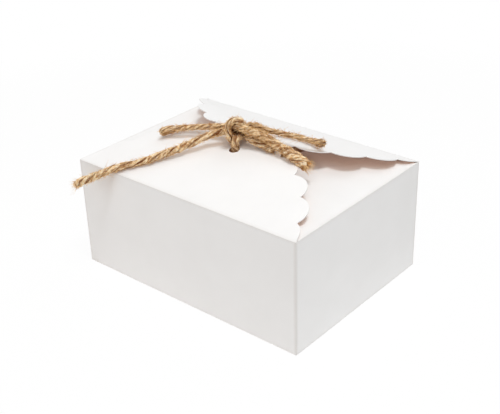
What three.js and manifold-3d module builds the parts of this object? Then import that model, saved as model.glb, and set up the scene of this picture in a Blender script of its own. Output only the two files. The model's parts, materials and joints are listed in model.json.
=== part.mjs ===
// A cake box folded from white board. Two scalloped flaps close it over a pair of end flaps and
// lap at the middle, where a jute twine runs through a hole in each and is tied in a bow on top.
// The base is a snap-lock: a main panel, two side panels and a lock panel whose tongue hooks in.
// Millimetres, +Z up. The origin is the centre of the base, +X runs along the long side, +Y back.

import * as THREE from 'three';
import { mergeVertices } from 'three/addons/utils/BufferGeometryUtils.js';
import Module from 'manifold-3d';

const wasm = await Module();
wasm.setup();

// Carton
const BOX_LENGTH = 180;
const BOX_WIDTH = 130;
const BOX_HEIGHT = 77;
const BOARD = 0.5;
const FOLD_GAP = 0.3;

// Scalloped front and back flaps, measured on the flat sheet
const SCALLOPS = 9;
const SCALLOP_RISE = 6.1;
const RING_PAST_MIDDLE = 0.7;
const END_NOTCH_INSET = 8.8;
const END_NOTCH_REACH = 13;
const SHOULDER_LEAN = 2;
const HOLE_DIAMETER = 7;
const HOLE_FROM_MIDDLE = 13;
const HOLE_OFF_CENTRE = 1.6;

// Slope of each flap at its fold, and how much of it is lost on the way to the middle, in degrees
const FRONT_SLOPE = 18.8;
const FRONT_FLATTENING = 10.27;
const BACK_SLOPE = 19;
const BACK_FLATTENING = 6.5;

// Towards their left corners the front flap droops, and the back one lifts and draws in
const FRONT_CORNER_LIFT = -8;
const BACK_CORNER_LIFT = 12.5;
const BACK_CORNER_DRAW = 6.5;
const LIFT_STARTS = 0.25;

// End flaps under them
const END_FLAP_LENGTH = 66;
const END_FLAP_SHOULDER = 2.5;
const END_FLAP_TAPER = 25;
const END_FLAP_CORNER = 12;
const END_FLAP_SLOPE = 2.4;

// Glued seam inside the back left corner
const SEAM_WIDTH = 15;
const SEAM_CHAMFER = 5;

// Snap-lock base
const MAIN_DEPTH = 78;
const MAIN_CORNER = 8;
const LOCK_DEPTH = 60;
const LOCK_TAPER = 6;
const SIDE_DEPTH = 46;
const SIDE_TIP = 40;
const PANEL_SHOULDER = 1.5;
const TONGUE_WIDTH = 80;
const TONGUE_LAP = 20;
const TONGUE_CORNER = 10;
const TONGUE_RAMP = 6;
const TONGUE_CLEARANCE = 0.5;
const RECESS_DEPTH = 22;

// Twine
const TWINE_DIAMETER = 4.4;
const TWINE_SIDES = 10;
const TWINE_STEP = 2;
const BEND_STEP = 0.8;
const KNOT_LENGTH = 16;
const KNOT_WIDTH = 13;
const KNOT_HEIGHT = 14;
const KNOT_ROUNDING = 2;
const WRAP_HEIGHT = 17.4;
const WRAP_DEPTH = 14;
const KNOT_PLACE = [1.2, -12, 25];

// Worked out from these
const rim = BOX_HEIGHT - BOARD / 2;
const halfLength = BOX_LENGTH / 2;
const halfWidth = BOX_WIDTH / 2;
const innerLength = halfLength - BOARD;
const innerWidth = halfWidth - BOARD;
const wallTop = rim - BOARD / 2 - FOLD_GAP;
const twineRadius = TWINE_DIAMETER / 2;

const endNotch = halfLength - END_NOTCH_INSET;
const ringTop = halfWidth + RING_PAST_MIDDLE;
const ringRise = ringTop - END_NOTCH_REACH;
const ringRadius = (endNotch ** 2 + ringRise ** 2) / (2 * ringRise);
const ringCentre = ringTop - ringRadius;
const pitch = (2 * Math.asin(endNotch / ringRadius)) / SCALLOPS;
const halfChord = ringRadius * Math.sin(pitch / 2);
const scallopRadius = (halfChord ** 2 + SCALLOP_RISE ** 2) / (2 * SCALLOP_RISE);
const scallopRing = ringRadius * Math.cos(pitch / 2) + SCALLOP_RISE - scallopRadius;

const WHITE_BOARD = { color: 0xf4f2ef, roughness: 0.62, metalness: 0 };
const JUTE = { color: 0xc59a63, roughness: 0.95, metalness: 0 };

const radians = THREE.MathUtils.degToRad;
const box = new THREE.Group();

// Adds one named sub-part with a material of its own
function add(name, geometry, finish, place = (mesh) => mesh) {
  const mesh = new THREE.Mesh(geometry, new THREE.MeshStandardMaterial(finish));
  mesh.name = name;
  place(mesh);
  box.add(mesh);
  return mesh;
}

// A closed geometry as a solid that can be cut and joined
function solid(geometry) {
  const bare = geometry.clone();
  bare.deleteAttribute('normal');
  bare.deleteAttribute('uv');
  const merged = mergeVertices(bare);
  return new wasm.Manifold(new wasm.Mesh({
    numProp: 3,
    vertProperties: new Float32Array(merged.attributes.position.array),
    triVerts: new Uint32Array(merged.index.array),
  }));
}

function geometryOf(manifold) {
  const mesh = manifold.getMesh();
  const geometry = new THREE.BufferGeometry();
  geometry.setAttribute('position', new THREE.BufferAttribute(new Float32Array(mesh.vertProperties), 3));
  geometry.setIndex(new THREE.BufferAttribute(new Uint32Array(mesh.triVerts), 1));
  geometry.computeVertexNormals();
  return geometry;
}

// A plate of board lying flat, from a plan outline, with its underside at the given height
function plate(shape, underside, thickness = BOARD) {
  const geometry = new THREE.ExtrudeGeometry(shape, { depth: thickness, bevelEnabled: false, curveSegments: 6 });
  return geometry.translate(0, 0, underside);
}

function outline(points) {
  return new THREE.Shape(points.map(([x, y]) => new THREE.Vector2(x, y)));
}

// A plan outline that is straight between its points, with some corners rounded
function roundedOutline(corners) {
  const shape = new THREE.Shape();
  const count = corners.length;
  corners.forEach(([x, y, round = 0], i) => {
    const at = new THREE.Vector2(x, y);
    const before = new THREE.Vector2(...corners[(i + count - 1) % count].slice(0, 2));
    const after = new THREE.Vector2(...corners[(i + 1) % count].slice(0, 2));
    const start = at.clone().add(before.sub(at).setLength(round));
    const end = at.clone().add(after.sub(at).setLength(round));
    if (i === 0) shape.moveTo(start.x, start.y);
    else shape.lineTo(start.x, start.y);
    if (round > 0) shape.quadraticCurveTo(at.x, at.y, end.x, end.y);
  });
  shape.closePath();
  return shape;
}

// Walls, mitred where they meet at the upright creases

function addWalls() {
  const long = outline([
    [-halfLength, -halfWidth],
    [halfLength, -halfWidth],
    [innerLength, -innerWidth],
    [-innerLength, -innerWidth],
  ]);
  const short = outline([
    [halfLength, -halfWidth],
    [halfLength, halfWidth],
    [innerLength, innerWidth],
    [innerLength, -innerWidth],
  ]);
  const turn = (mesh) => mesh.rotateZ(Math.PI);
  add('front_wall', plate(long, 0, wallTop), WHITE_BOARD);
  add('back_wall', plate(long, 0, wallTop), WHITE_BOARD, turn);
  add('right_wall', plate(short, 0, wallTop), WHITE_BOARD);
  add('left_wall', plate(short, 0, wallTop), WHITE_BOARD, turn);
}

// The glue seam: a strip folded off the left wall and stuck to the inside of the back wall
function addGlueSeam() {
  const base = 4 * BOARD + FOLD_GAP;
  const top = wallTop - FOLD_GAP;
  const strip = outline([
    [0, base],
    [SEAM_WIDTH, base + SEAM_CHAMFER],
    [SEAM_WIDTH, top - SEAM_CHAMFER],
    [0, top],
  ]);
  add('glue_seam', plate(strip, 0), WHITE_BOARD, (mesh) => {
    mesh.rotateX(Math.PI / 2);
    mesh.position.set(-innerLength, innerWidth, 0);
  });
}

// Base panels, one board above the other: lock panel, side panels, main panel

function addMainPanel() {
  const edge = innerWidth - MAIN_DEPTH;
  const recess = TONGUE_WIDTH / 2 + TONGUE_CLEARANCE;
  const side = innerLength - PANEL_SHOULDER;
  const shape = roundedOutline([
    [-innerLength, innerWidth],
    [-side, edge, MAIN_CORNER],
    [-recess, edge, TONGUE_CLEARANCE],
    [-recess, edge + RECESS_DEPTH],
    [recess, edge + RECESS_DEPTH],
    [recess, edge, TONGUE_CLEARANCE],
    [side, edge, MAIN_CORNER],
    [innerLength, innerWidth],
  ]);
  add('base_main_panel', plate(shape, 2 * BOARD), WHITE_BOARD);
}

function addSidePanels() {
  const root = innerWidth - PANEL_SHOULDER;
  const tip = innerLength - SIDE_DEPTH;
  const shape = roundedOutline([
    [innerLength, -root],
    [innerLength, root],
    [tip, SIDE_TIP / 2, END_FLAP_CORNER / 2],
    [tip, -SIDE_TIP / 2, END_FLAP_CORNER / 2],
  ]);
  add('base_right_panel', plate(shape, BOARD), WHITE_BOARD);
  add('base_left_panel', plate(shape, BOARD), WHITE_BOARD, (mesh) => mesh.rotateZ(Math.PI));
}

// The lock panel's tongue climbs through the main panel's recess and lies on top of it
function addLockPanel() {
  const hook = innerWidth - MAIN_DEPTH + RECESS_DEPTH;
  const rampEnd = hook - TONGUE_CLEARANCE;
  const rampStart = rampEnd - TONGUE_RAMP;
  const over = 3 * BOARD;
  const half = TONGUE_WIDTH / 2;
  const body = roundedOutline([
    [-innerLength, -innerWidth],
    [innerLength, -innerWidth],
    [innerLength - LOCK_TAPER, LOCK_DEPTH - innerWidth, END_FLAP_CORNER / 2],
    [half, LOCK_DEPTH - innerWidth],
    [-half, LOCK_DEPTH - innerWidth],
    [LOCK_TAPER - innerLength, LOCK_DEPTH - innerWidth, END_FLAP_CORNER / 2],
  ]);
  const profile = outline([
    [-innerWidth, 0],
    [rampStart, 0],
    [rampEnd, over],
    [hook + TONGUE_LAP, over],
    [hook + TONGUE_LAP, over + BOARD],
    [rampEnd - BOARD, over + BOARD],
    [rampStart - BOARD, BOARD],
    [-innerWidth, BOARD],
  ]);
  const strip = new THREE.ExtrudeGeometry(profile, { depth: TONGUE_WIDTH, bevelEnabled: false });
  strip.rotateX(Math.PI / 2).rotateZ(Math.PI / 2).translate(-half, 0, 0);
  const tongueEnd = roundedOutline([
    [-half, -innerWidth],
    [half, -innerWidth],
    [half, hook + TONGUE_LAP, TONGUE_CORNER],
    [-half, hook + TONGUE_LAP, TONGUE_CORNER],
  ]);
  const cutter = solid(plate(tongueEnd, -BOARD, 6 * BOARD));
  const tongue = solid(strip).intersect(cutter);
  const panel = solid(plate(body, 0)).add(tongue);
  add('base_lock_panel', geometryOf(panel), WHITE_BOARD);
}

// Scalloped flaps

// The cut edge on the flat sheet, from the right-hand corner to the left-hand one
function scallopedEdge() {
  const shoulder = (side) => new THREE.CubicBezierCurve(
    new THREE.Vector2(side * halfLength, 0),
    new THREE.Vector2(side * (halfLength - SHOULDER_LEAN), END_NOTCH_REACH * 0.54),
    new THREE.Vector2(side * (halfLength - 1.5 * SHOULDER_LEAN), END_NOTCH_REACH * 0.85),
    new THREE.Vector2(side * endNotch, END_NOTCH_REACH),
  ).getPoints(6);
  const half = Math.asin(halfChord / scallopRadius);
  const points = shoulder(1);
  for (let i = 0; i < SCALLOPS; i += 1) {
    const turn = (SCALLOPS / 2 - 0.5 - i) * pitch;
    const upright = Math.PI / 2 - turn;
    const arc = new THREE.EllipseCurve(
      scallopRing * Math.sin(turn),
      ringCentre + scallopRing * Math.cos(turn),
      scallopRadius,
      scallopRadius,
      upright - half,
      upright + half,
    );
    points.push(...arc.getPoints(8).slice(1));
  }
  return points.concat(shoulder(-1).reverse().slice(1));
}

// The bends of the two flaps. The corner is the side, in the flap's own frame, of the one that
// lifts by so many degrees and draws in by so many millimetres at the middle of the box.
const FRONT = { slope: FRONT_SLOPE, flattening: FRONT_FLATTENING, corner: -1, lift: FRONT_CORNER_LIFT, draw: 0 };
const BACK = {
  slope: BACK_SLOPE,
  flattening: BACK_FLATTENING,
  corner: 1,
  lift: BACK_CORNER_LIFT,
  draw: BACK_CORNER_DRAW,
};

// Carries a point of the flat sheet onto a bent flap, whose slope falls away from the fold
function bend(x, reach, out, { slope, flattening, corner, lift, draw }) {
  const past = (corner * x) / halfLength - LIFT_STARTS;
  const along = Math.max(0, past / (1 - LIFT_STARTS));
  const start = radians(slope + lift * along ** 3);
  const turn = radians(flattening) / halfWidth;
  const angle = start - turn * reach;
  return new THREE.Vector3(
    x - corner * draw * along * (reach / halfWidth) ** 2,
    (Math.sin(start) - Math.sin(angle)) / turn - Math.sin(angle) * out,
    (Math.cos(angle) - Math.cos(start)) / turn + Math.cos(angle) * out,
  );
}

// One flap with its fold on the X axis, from rays that run from the fold to the scalloped edge
function scallopedFlap(shape) {
  const cells = 6;
  const at = (point, step, out) => {
    const share = step / cells;
    const root = (point.x * -ringCentre) / (point.y - ringCentre);
    return bend(root + (point.x - root) * share, point.y * share, out, shape);
  };
  const edge = scallopedEdge();
  const corners = [];
  const quad = (a, b, c, d) => corners.push(a, b, c, a, c, d);
  const half = BOARD / 2;
  for (let i = 1; i < edge.length; i += 1) {
    const [from, to] = [edge[i - 1], edge[i]];
    for (let step = 0; step < cells; step += 1) {
      quad(at(from, step, half), at(from, step + 1, half), at(to, step + 1, half), at(to, step, half));
      quad(at(to, step, -half), at(to, step + 1, -half), at(from, step + 1, -half), at(from, step, -half));
    }
    quad(at(from, 0, half), at(to, 0, half), at(to, 0, -half), at(from, 0, -half));
    quad(at(from, cells, -half), at(to, cells, -half), at(to, cells, half), at(from, cells, half));
  }
  const geometry = mergeVertices(new THREE.BufferGeometry().setFromPoints(corners));
  const index = [...geometry.index.array];
  const faces = [];
  for (let i = 0; i < index.length; i += 3) {
    const [a, b, c] = index.slice(i, i + 3);
    if (a !== b && b !== c && c !== a) faces.push(a, b, c);
  }
  geometry.setIndex(faces);
  const hole = new THREE.CylinderGeometry(HOLE_DIAMETER / 2, HOLE_DIAMETER / 2, BOX_HEIGHT, 20);
  hole.rotateX(Math.PI / 2);
  const reach = ringTop - HOLE_FROM_MIDDLE;
  hole.translate(-shape.corner * HOLE_OFF_CENTRE, bend(0, reach, 0, shape).y, 0);
  return geometryOf(solid(geometry).subtract(solid(hole)));
}

function addScallopedFlaps() {
  const fold = halfWidth - BOARD / 2;
  add('front_flap', scallopedFlap(FRONT), WHITE_BOARD, (mesh) => {
    mesh.position.set(0, -fold, rim);
  });
  add('back_flap', scallopedFlap(BACK), WHITE_BOARD, (mesh) => {
    mesh.rotateZ(Math.PI);
    mesh.position.set(0, fold, rim);
  });
}

// End flaps: tapered tabs that fold in first, under the scalloped ones
function addEndFlaps() {
  const root = halfWidth - END_FLAP_SHOULDER;
  const tip = root - END_FLAP_LENGTH * Math.tan(radians(END_FLAP_TAPER));
  const shape = roundedOutline([
    [0, -root],
    [0, root],
    [-END_FLAP_LENGTH, tip, END_FLAP_CORNER],
    [-END_FLAP_LENGTH, -tip, END_FLAP_CORNER],
  ]);
  const tab = plate(shape, -BOARD / 2).rotateY(radians(END_FLAP_SLOPE));
  const fold = halfLength - BOARD / 2;
  add('right_end_flap', tab, WHITE_BOARD, (mesh) => mesh.position.set(fold, 0, rim));
  add('left_end_flap', tab.clone(), WHITE_BOARD, (mesh) => {
    mesh.rotateZ(Math.PI);
    mesh.position.set(-fold, 0, rim);
  });
}

// Twine

// A run of twine along points given from the centre of the base, with heights above the rim
function twine(points, step) {
  const route = points.map(([x, y, up]) => new THREE.Vector3(x, y, BOX_HEIGHT + up));
  const curve = new THREE.CatmullRomCurve3(route, false, 'centripetal');
  const section = new THREE.Shape();
  section.absarc(0, 0, twineRadius, 0, 2 * Math.PI);
  return new THREE.ExtrudeGeometry(section, {
    extrudePath: curve,
    steps: Math.round(curve.getLength() / (step * TWINE_DIAMETER)),
    curveSegments: TWINE_SIDES,
    bevelEnabled: false,
  });
}

// Runs that turn sharply, at the ends of the bow's loops and through the holes
const BENT_RUNS = {
  twine_left_loop: [
    [-8.3, -9, 25], [-12, -9.8, 24.6], [-20, -12, 22.9], [-31, -15, 20.7], [-41.2, -20.2, 19.2], [-47.2, -24, 18.5],
    [-50.6, -25.8, 17], [-51.6, -24, 14.1], [-48.4, -18.6, 14.8], [-43, -13.5, 16.4], [-34, -9.8, 18.2],
    [-24, -7, 19.4], [-8.3, -6.6, 20],
  ],
  twine_right_loop: [
    [4.6, -2.2, 26.8], [8.2, 2, 25.5], [17.4, 2.6, 24.7], [26.2, 3.9, 24.5], [33.1, 5.2, 24.2], [40.2, 6.4, 23.8],
    [45.2, 8.6, 23.2], [49, 11.4, 22.2], [49.4, 14.8, 19.6], [44.8, 17.4, 17.1], [37.4, 20.2, 16.2],
    [28.6, 21.2, 15.9], [21.4, 20, 16.2], [14.6, 17.6, 16.8], [9.6, 12.6, 18.4], [5.8, 5.5, 20.5], [3.8, -2.2, 21.4],
  ],
  twine_through_flaps: [
    [1.6, -13.6, 15.4], [1.6, -13.8, 12.6], [1.6, -12.6, 9.2], [1.6, -6, 8], [1.6, 4, 8.2],
    [1.6, 11.8, 9.4], [1.6, 14, 12.8], [1.5, 13.8, 16.6], [-0.2, 10.2, 20.6], [-2.4, 4, 21.8], [-3.2, -2.2, 22],
  ],
};
const STRAIGHT_RUNS = {
  twine_left_tail: [
    [-8.8, -14.9, 22.9], [-15, -20.5, 20.6], [-21.5, -28.5, 16.9], [-30.5, -39.3, 12.4], [-36.3, -45.4, 9.6],
    [-42.8, -52.7, 6.9], [-50.9, -59.6, 4.6], [-55.2, -64.6, 3.3], [-59, -69.5, 1.5], [-64, -71.5, -1.2],
    [-69.3, -73, -4.2], [-76.3, -75, -8.3], [-81, -76.5, -11],
  ],
  twine_right_tail: [
    [10.3, -9, 26.2], [17.5, -6.8, 24.9], [27.5, -6.4, 22.3], [36.6, -7, 19.9], [44.8, -7.8, 18.2],
    [50.6, -7.6, 16.2], [54, -7.4, 14.8],
  ],
  twine_short_end: [[10.3, -8.4, 21.2], [15.9, -6.6, 19.6], [22.1, -6, 18.2], [27.6, -6, 17.3]],
};

// The knot: a core along the box with the wrap of the bow standing round it
function addKnot() {
  const [x, y, up] = KNOT_PLACE;
  const core = new THREE.Shape();
  core.absellipse(0, 0, KNOT_HEIGHT / 2 - KNOT_ROUNDING, KNOT_WIDTH / 2 - KNOT_ROUNDING, 0, 2 * Math.PI);
  const bundle = new THREE.ExtrudeGeometry(core, {
    depth: KNOT_LENGTH - 2 * KNOT_ROUNDING,
    bevelSize: KNOT_ROUNDING,
    bevelThickness: KNOT_ROUNDING,
    bevelSegments: 3,
    curveSegments: 20,
  });
  bundle.translate(0, 0, KNOT_ROUNDING - KNOT_LENGTH / 2).rotateY(Math.PI / 2);
  const ring = (WRAP_HEIGHT - TWINE_DIAMETER) / 2;
  const wrap = new THREE.TorusGeometry(ring, twineRadius, TWINE_SIDES, 24);
  wrap.scale(WRAP_DEPTH / WRAP_HEIGHT, 1, 1).rotateX(Math.PI / 2).rotateZ(Math.PI / 2);
  const knot = solid(bundle).add(solid(wrap));
  add('twine_knot', geometryOf(knot), JUTE, (mesh) => mesh.position.set(x, y, BOX_HEIGHT + up));
}

addWalls();
addGlueSeam();
addMainPanel();
addSidePanels();
addLockPanel();
addScallopedFlaps();
addEndFlaps();
addKnot();
for (const [name, points] of Object.entries(BENT_RUNS)) add(name, twine(points, BEND_STEP), JUTE);
for (const [name, points] of Object.entries(STRAIGHT_RUNS)) add(name, twine(points, TWINE_STEP), JUTE);

export default box;
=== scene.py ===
"""A cake box of white board, shut with scalloped flaps and tied with jute twine.

Everything is in metres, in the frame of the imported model: the origin is the centre of the base,
+X runs along the long side, +Y towards the back and +Z up. Only the twine's routes are in mm.
"""

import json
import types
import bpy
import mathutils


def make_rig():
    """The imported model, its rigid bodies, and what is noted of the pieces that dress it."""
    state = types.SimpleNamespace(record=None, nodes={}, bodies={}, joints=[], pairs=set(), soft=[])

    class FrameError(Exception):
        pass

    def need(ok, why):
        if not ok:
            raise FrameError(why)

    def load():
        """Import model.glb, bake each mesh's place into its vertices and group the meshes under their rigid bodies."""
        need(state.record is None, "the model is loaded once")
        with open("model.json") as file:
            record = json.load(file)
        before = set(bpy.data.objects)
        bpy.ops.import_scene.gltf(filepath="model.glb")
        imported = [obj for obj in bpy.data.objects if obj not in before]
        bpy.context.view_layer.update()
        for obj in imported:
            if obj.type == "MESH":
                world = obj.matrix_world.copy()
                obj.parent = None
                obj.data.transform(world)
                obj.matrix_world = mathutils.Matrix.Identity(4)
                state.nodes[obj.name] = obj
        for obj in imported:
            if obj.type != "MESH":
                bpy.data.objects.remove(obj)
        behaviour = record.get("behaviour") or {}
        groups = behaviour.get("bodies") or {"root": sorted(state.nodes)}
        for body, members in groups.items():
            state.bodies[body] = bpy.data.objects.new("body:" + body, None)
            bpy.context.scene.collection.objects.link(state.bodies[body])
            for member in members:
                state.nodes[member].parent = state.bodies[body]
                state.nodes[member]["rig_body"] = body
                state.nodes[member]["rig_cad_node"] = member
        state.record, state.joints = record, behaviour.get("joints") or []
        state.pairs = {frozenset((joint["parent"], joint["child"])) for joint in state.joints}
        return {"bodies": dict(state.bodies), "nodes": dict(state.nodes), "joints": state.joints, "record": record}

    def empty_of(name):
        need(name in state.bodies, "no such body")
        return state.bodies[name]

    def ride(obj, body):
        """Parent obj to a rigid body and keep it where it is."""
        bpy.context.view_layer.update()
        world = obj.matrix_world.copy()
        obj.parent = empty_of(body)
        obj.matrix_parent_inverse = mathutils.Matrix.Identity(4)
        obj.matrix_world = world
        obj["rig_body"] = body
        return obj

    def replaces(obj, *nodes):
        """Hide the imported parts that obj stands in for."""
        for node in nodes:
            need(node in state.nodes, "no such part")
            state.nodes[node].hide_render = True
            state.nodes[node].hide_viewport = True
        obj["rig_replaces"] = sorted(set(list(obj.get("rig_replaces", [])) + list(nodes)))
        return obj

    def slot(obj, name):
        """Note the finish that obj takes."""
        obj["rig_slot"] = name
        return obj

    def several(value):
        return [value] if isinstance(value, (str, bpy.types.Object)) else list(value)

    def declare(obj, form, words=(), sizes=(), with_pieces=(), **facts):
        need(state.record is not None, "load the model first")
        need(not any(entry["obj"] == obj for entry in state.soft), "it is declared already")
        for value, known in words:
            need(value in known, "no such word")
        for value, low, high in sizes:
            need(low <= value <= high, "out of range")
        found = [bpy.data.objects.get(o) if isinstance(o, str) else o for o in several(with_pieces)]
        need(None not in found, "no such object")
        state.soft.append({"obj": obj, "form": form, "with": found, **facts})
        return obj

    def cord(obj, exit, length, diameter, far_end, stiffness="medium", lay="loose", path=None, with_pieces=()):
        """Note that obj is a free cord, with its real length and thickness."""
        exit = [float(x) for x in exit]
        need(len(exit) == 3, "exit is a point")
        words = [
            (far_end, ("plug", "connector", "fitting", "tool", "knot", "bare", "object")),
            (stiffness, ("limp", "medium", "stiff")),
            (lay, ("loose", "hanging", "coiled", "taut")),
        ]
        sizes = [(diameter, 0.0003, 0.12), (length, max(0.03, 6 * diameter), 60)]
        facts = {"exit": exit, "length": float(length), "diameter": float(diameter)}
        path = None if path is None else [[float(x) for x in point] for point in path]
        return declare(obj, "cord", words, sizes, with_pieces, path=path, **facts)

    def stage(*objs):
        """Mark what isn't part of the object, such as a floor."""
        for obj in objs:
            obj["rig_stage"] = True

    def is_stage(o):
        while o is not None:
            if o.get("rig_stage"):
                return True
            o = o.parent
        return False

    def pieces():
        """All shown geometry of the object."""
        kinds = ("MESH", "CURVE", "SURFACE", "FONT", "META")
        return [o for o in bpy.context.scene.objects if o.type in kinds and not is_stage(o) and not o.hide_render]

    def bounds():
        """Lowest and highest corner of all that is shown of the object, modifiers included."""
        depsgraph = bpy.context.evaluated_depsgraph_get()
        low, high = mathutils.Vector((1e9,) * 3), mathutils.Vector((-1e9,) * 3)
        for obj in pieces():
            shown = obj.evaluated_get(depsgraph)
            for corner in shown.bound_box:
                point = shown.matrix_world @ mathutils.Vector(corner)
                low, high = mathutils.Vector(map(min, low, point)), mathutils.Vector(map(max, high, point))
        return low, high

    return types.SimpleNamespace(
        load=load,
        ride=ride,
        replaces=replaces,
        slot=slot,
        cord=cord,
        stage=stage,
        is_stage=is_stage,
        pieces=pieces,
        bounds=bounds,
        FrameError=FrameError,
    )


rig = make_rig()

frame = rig.load()

import json
import logging
import math
import random
from collections.abc import Iterable, Sequence
from dataclasses import dataclass
from enum import Enum

import bmesh
import bpy
from mathutils import Matrix, Vector, noise

log = logging.getLogger("cake_box")

Point = tuple[float, float, float]
Colour = tuple[float, float, float, float]
Route = Sequence[Point]
Span = tuple[float, float]
BMesh = bmesh.types.BMesh
Material = bpy.types.Material
Node = bpy.types.Node
NodeTree = bpy.types.NodeTree
Socket = bpy.types.NodeSocket

# A noise texture's scale, as a number or a socket, its octaves and how strong the finer ones are
Grain = tuple[object, float, float]

MM = 0.001
SIZE_FILE = "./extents.json"
SMOOTH_UNDER = math.radians(38)
WHITE: Colour = (1, 1, 1, 1)

# The face attribute of the kraft side, and the cosine past which a face counts as facing a way
INSIDE = "inside"
FACING = 0.7

# How near points lie to count as one, in cuts, on level edges and where outlines meet
CUT_SNAP = 1e-7
LEVEL_SNAP = 1e-6
OUTLINE_SNAP = 2e-6

# The sockets of a Mix node that mixes colours, whose names its other kinds share
MIX_INPUTS = (0, 6, 7)
MIX_OUTPUT = 2


class Body(Enum):
    """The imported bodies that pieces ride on."""

    CARTON = "carton"
    BACK_LID = "back_lid"
    FRONT_LID = "front_lid"
    LEFT_TAB = "left_tab"
    RIGHT_TAB = "right_tab"
    BOW = "bow"


class Slot(Enum):
    """The record's material slots."""

    BOARD = "board"
    TWINE = "twine"


class Lay(Enum):
    """Which way the plies of a twine turn about it."""

    LEFT = -1
    RIGHT = 1


class FarEnd(Enum):
    """Where a run of twine ends."""

    CUT = "bare"
    KNOT = "object"


@dataclass(frozen=True)
class Carton:
    """The folded box's outside sizes and the thickness of its board."""

    half_length: float = 90 * MM
    half_width: float = 65 * MM
    height: float = 77 * MM
    board: float = 0.5 * MM

    @property
    def fold_height(self) -> float:
        """Gives the height of the flaps' fold lines, in the middle of the board."""
        return self.height - self.board / 2


BOX = Carton()

# Node trees


class Graph:
    """A thin hand for building one node tree."""

    def __init__(self, tree: NodeTree) -> None:
        """Keeps the tree that the nodes go into."""
        self.tree = tree

    def feed(self, socket: Socket, value: object) -> None:
        """Links an output socket to an input socket, or sets the input to a constant."""
        if isinstance(value, Socket):
            self.tree.links.new(value, socket)
        else:
            socket.default_value = value

    def add(self, kind: str, **settings: object) -> Node:
        """Adds a shader node of a kind such as Math, with attributes such as operation="ADD"."""
        node = self.tree.nodes.new(f"ShaderNode{kind}")
        for name, value in settings.items():
            setattr(node, name, value)
        return node

    def put(self, node: Node, **values: object) -> Node:
        """Sets or links a node's inputs by name, with _ for a space, and gives the node back."""
        for name, value in values.items():
            self.feed(node.inputs[name.replace("_", " ")], value)
        return node

    def math(self, operation: str, *values: object) -> Socket:
        """Gives the result of a Math node, whose inputs are numbers or output sockets."""
        node = self.add("Math", operation=operation)
        for socket, value in zip(node.inputs, values):
            self.feed(socket, value)
        return node.outputs[0]

    def mix(self, share: object, first: object, second: object) -> Socket:
        """Mixes two colours.

        Args:
            share: How much of the second colour shows.
            first: A colour or an output socket.
            second: A colour or an output socket.

        Returns:
            The mixed colour's socket.
        """
        node = self.add("Mix", data_type="RGBA")
        for place, value in zip(MIX_INPUTS, (share, first, second)):
            self.feed(node.inputs[place], value)
        return node.outputs[MIX_OUTPUT]

    def noise(self, vector: Socket, grain: Grain) -> Socket:
        """Gives the value of a noise texture, from 0 to 1."""
        scale, detail, rough = grain
        node = self.add("TexNoise")
        self.put(node, Vector=vector, Scale=scale, Detail=detail, Roughness=rough)
        return node.outputs["Fac"]

    def spread(self, value: Socket, low: float, high: float) -> Socket:
        """Gives the value's place between low and high, from 0 to 1 and no further."""
        node = self.add("MapRange", clamp=True)
        return self.put(node, Value=value, From_Min=low, From_Max=high).outputs[0]

    def blend(self, share: Socket, first: Node, second: Node, output: str) -> None:
        """Mixes two shaders by the share of the second, and links them to the output named."""
        both = self.add("MixShader")
        for socket, value in zip(both.inputs, (share, first.outputs[0], second.outputs[0])):
            self.feed(socket, value)
        self.feed(self.tree.nodes[output].inputs[0], both.outputs[0])


def new_material(name: str) -> tuple[Material, Graph, Node]:
    """Starts a material.

    Args:
        name: Its name.

    Returns:
        The material, its graph and its Principled shader.
    """
    made = bpy.data.materials.new(name)
    made.use_nodes = True
    return made, Graph(made.node_tree), made.node_tree.nodes["Principled BSDF"]


def fibre_group() -> NodeTree:
    """Builds the group that mottles a surface and raises fine fibres on it.

    Returns:
        A group from Vector, Cloud Scale and Fibre Scale to Cloud, Fibre and Height.
    """
    cloud_height = 0.6
    tree = bpy.data.node_groups.new("fibre_surface", "ShaderNodeTree")
    tree.interface.new_socket("Vector", in_out="INPUT", socket_type="NodeSocketVector")
    for label in ("Cloud Scale", "Fibre Scale"):
        tree.interface.new_socket(label, in_out="INPUT", socket_type="NodeSocketFloat")
    for label in ("Cloud", "Fibre", "Height"):
        tree.interface.new_socket(label, in_out="OUTPUT", socket_type="NodeSocketFloat")
    given = tree.nodes.new("NodeGroupInput").outputs
    leave = tree.nodes.new("NodeGroupOutput")
    graph = Graph(tree)
    cloud = graph.noise(given["Vector"], (given["Cloud Scale"], 3.0, 0.55))
    fibre = graph.noise(given["Vector"], (given["Fibre Scale"], 5.0, 0.65))
    height = graph.math("ADD", fibre, graph.math("MULTIPLY", cloud, cloud_height))
    graph.put(leave, Cloud=cloud, Fibre=fibre, Height=height)
    return tree


def soften_shadow(graph: Graph, shader: Node, let_through: Colour) -> None:
    """Lets a surface's shadow keep the little warm light that each layer lets through."""
    soaked = graph.put(graph.add("BsdfTransparent"), Color=let_through)
    shadow = graph.add("LightPath").outputs["Is Shadow Ray"]
    graph.blend(shadow, shader, soaked, "Material Output")


@dataclass(frozen=True)
class Stain:
    """A colour that starts to show where a value passes low, and shows most past high."""

    colour: Colour
    low: float
    high: float
    most: float = 1

    def lay(self, graph: Graph, value: Socket, under: object) -> Socket:
        """Lays the stain over a colour.

        Args:
            graph: The material's graph.
            value: What the stain follows.
            under: The colour under it, or its socket.

        Returns:
            The stained colour's socket.
        """
        share = graph.spread(value, self.low, self.high)
        if self.most < 1:
            share = graph.math("MULTIPLY", share, self.most)
        return graph.mix(share, under, self.colour)


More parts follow.
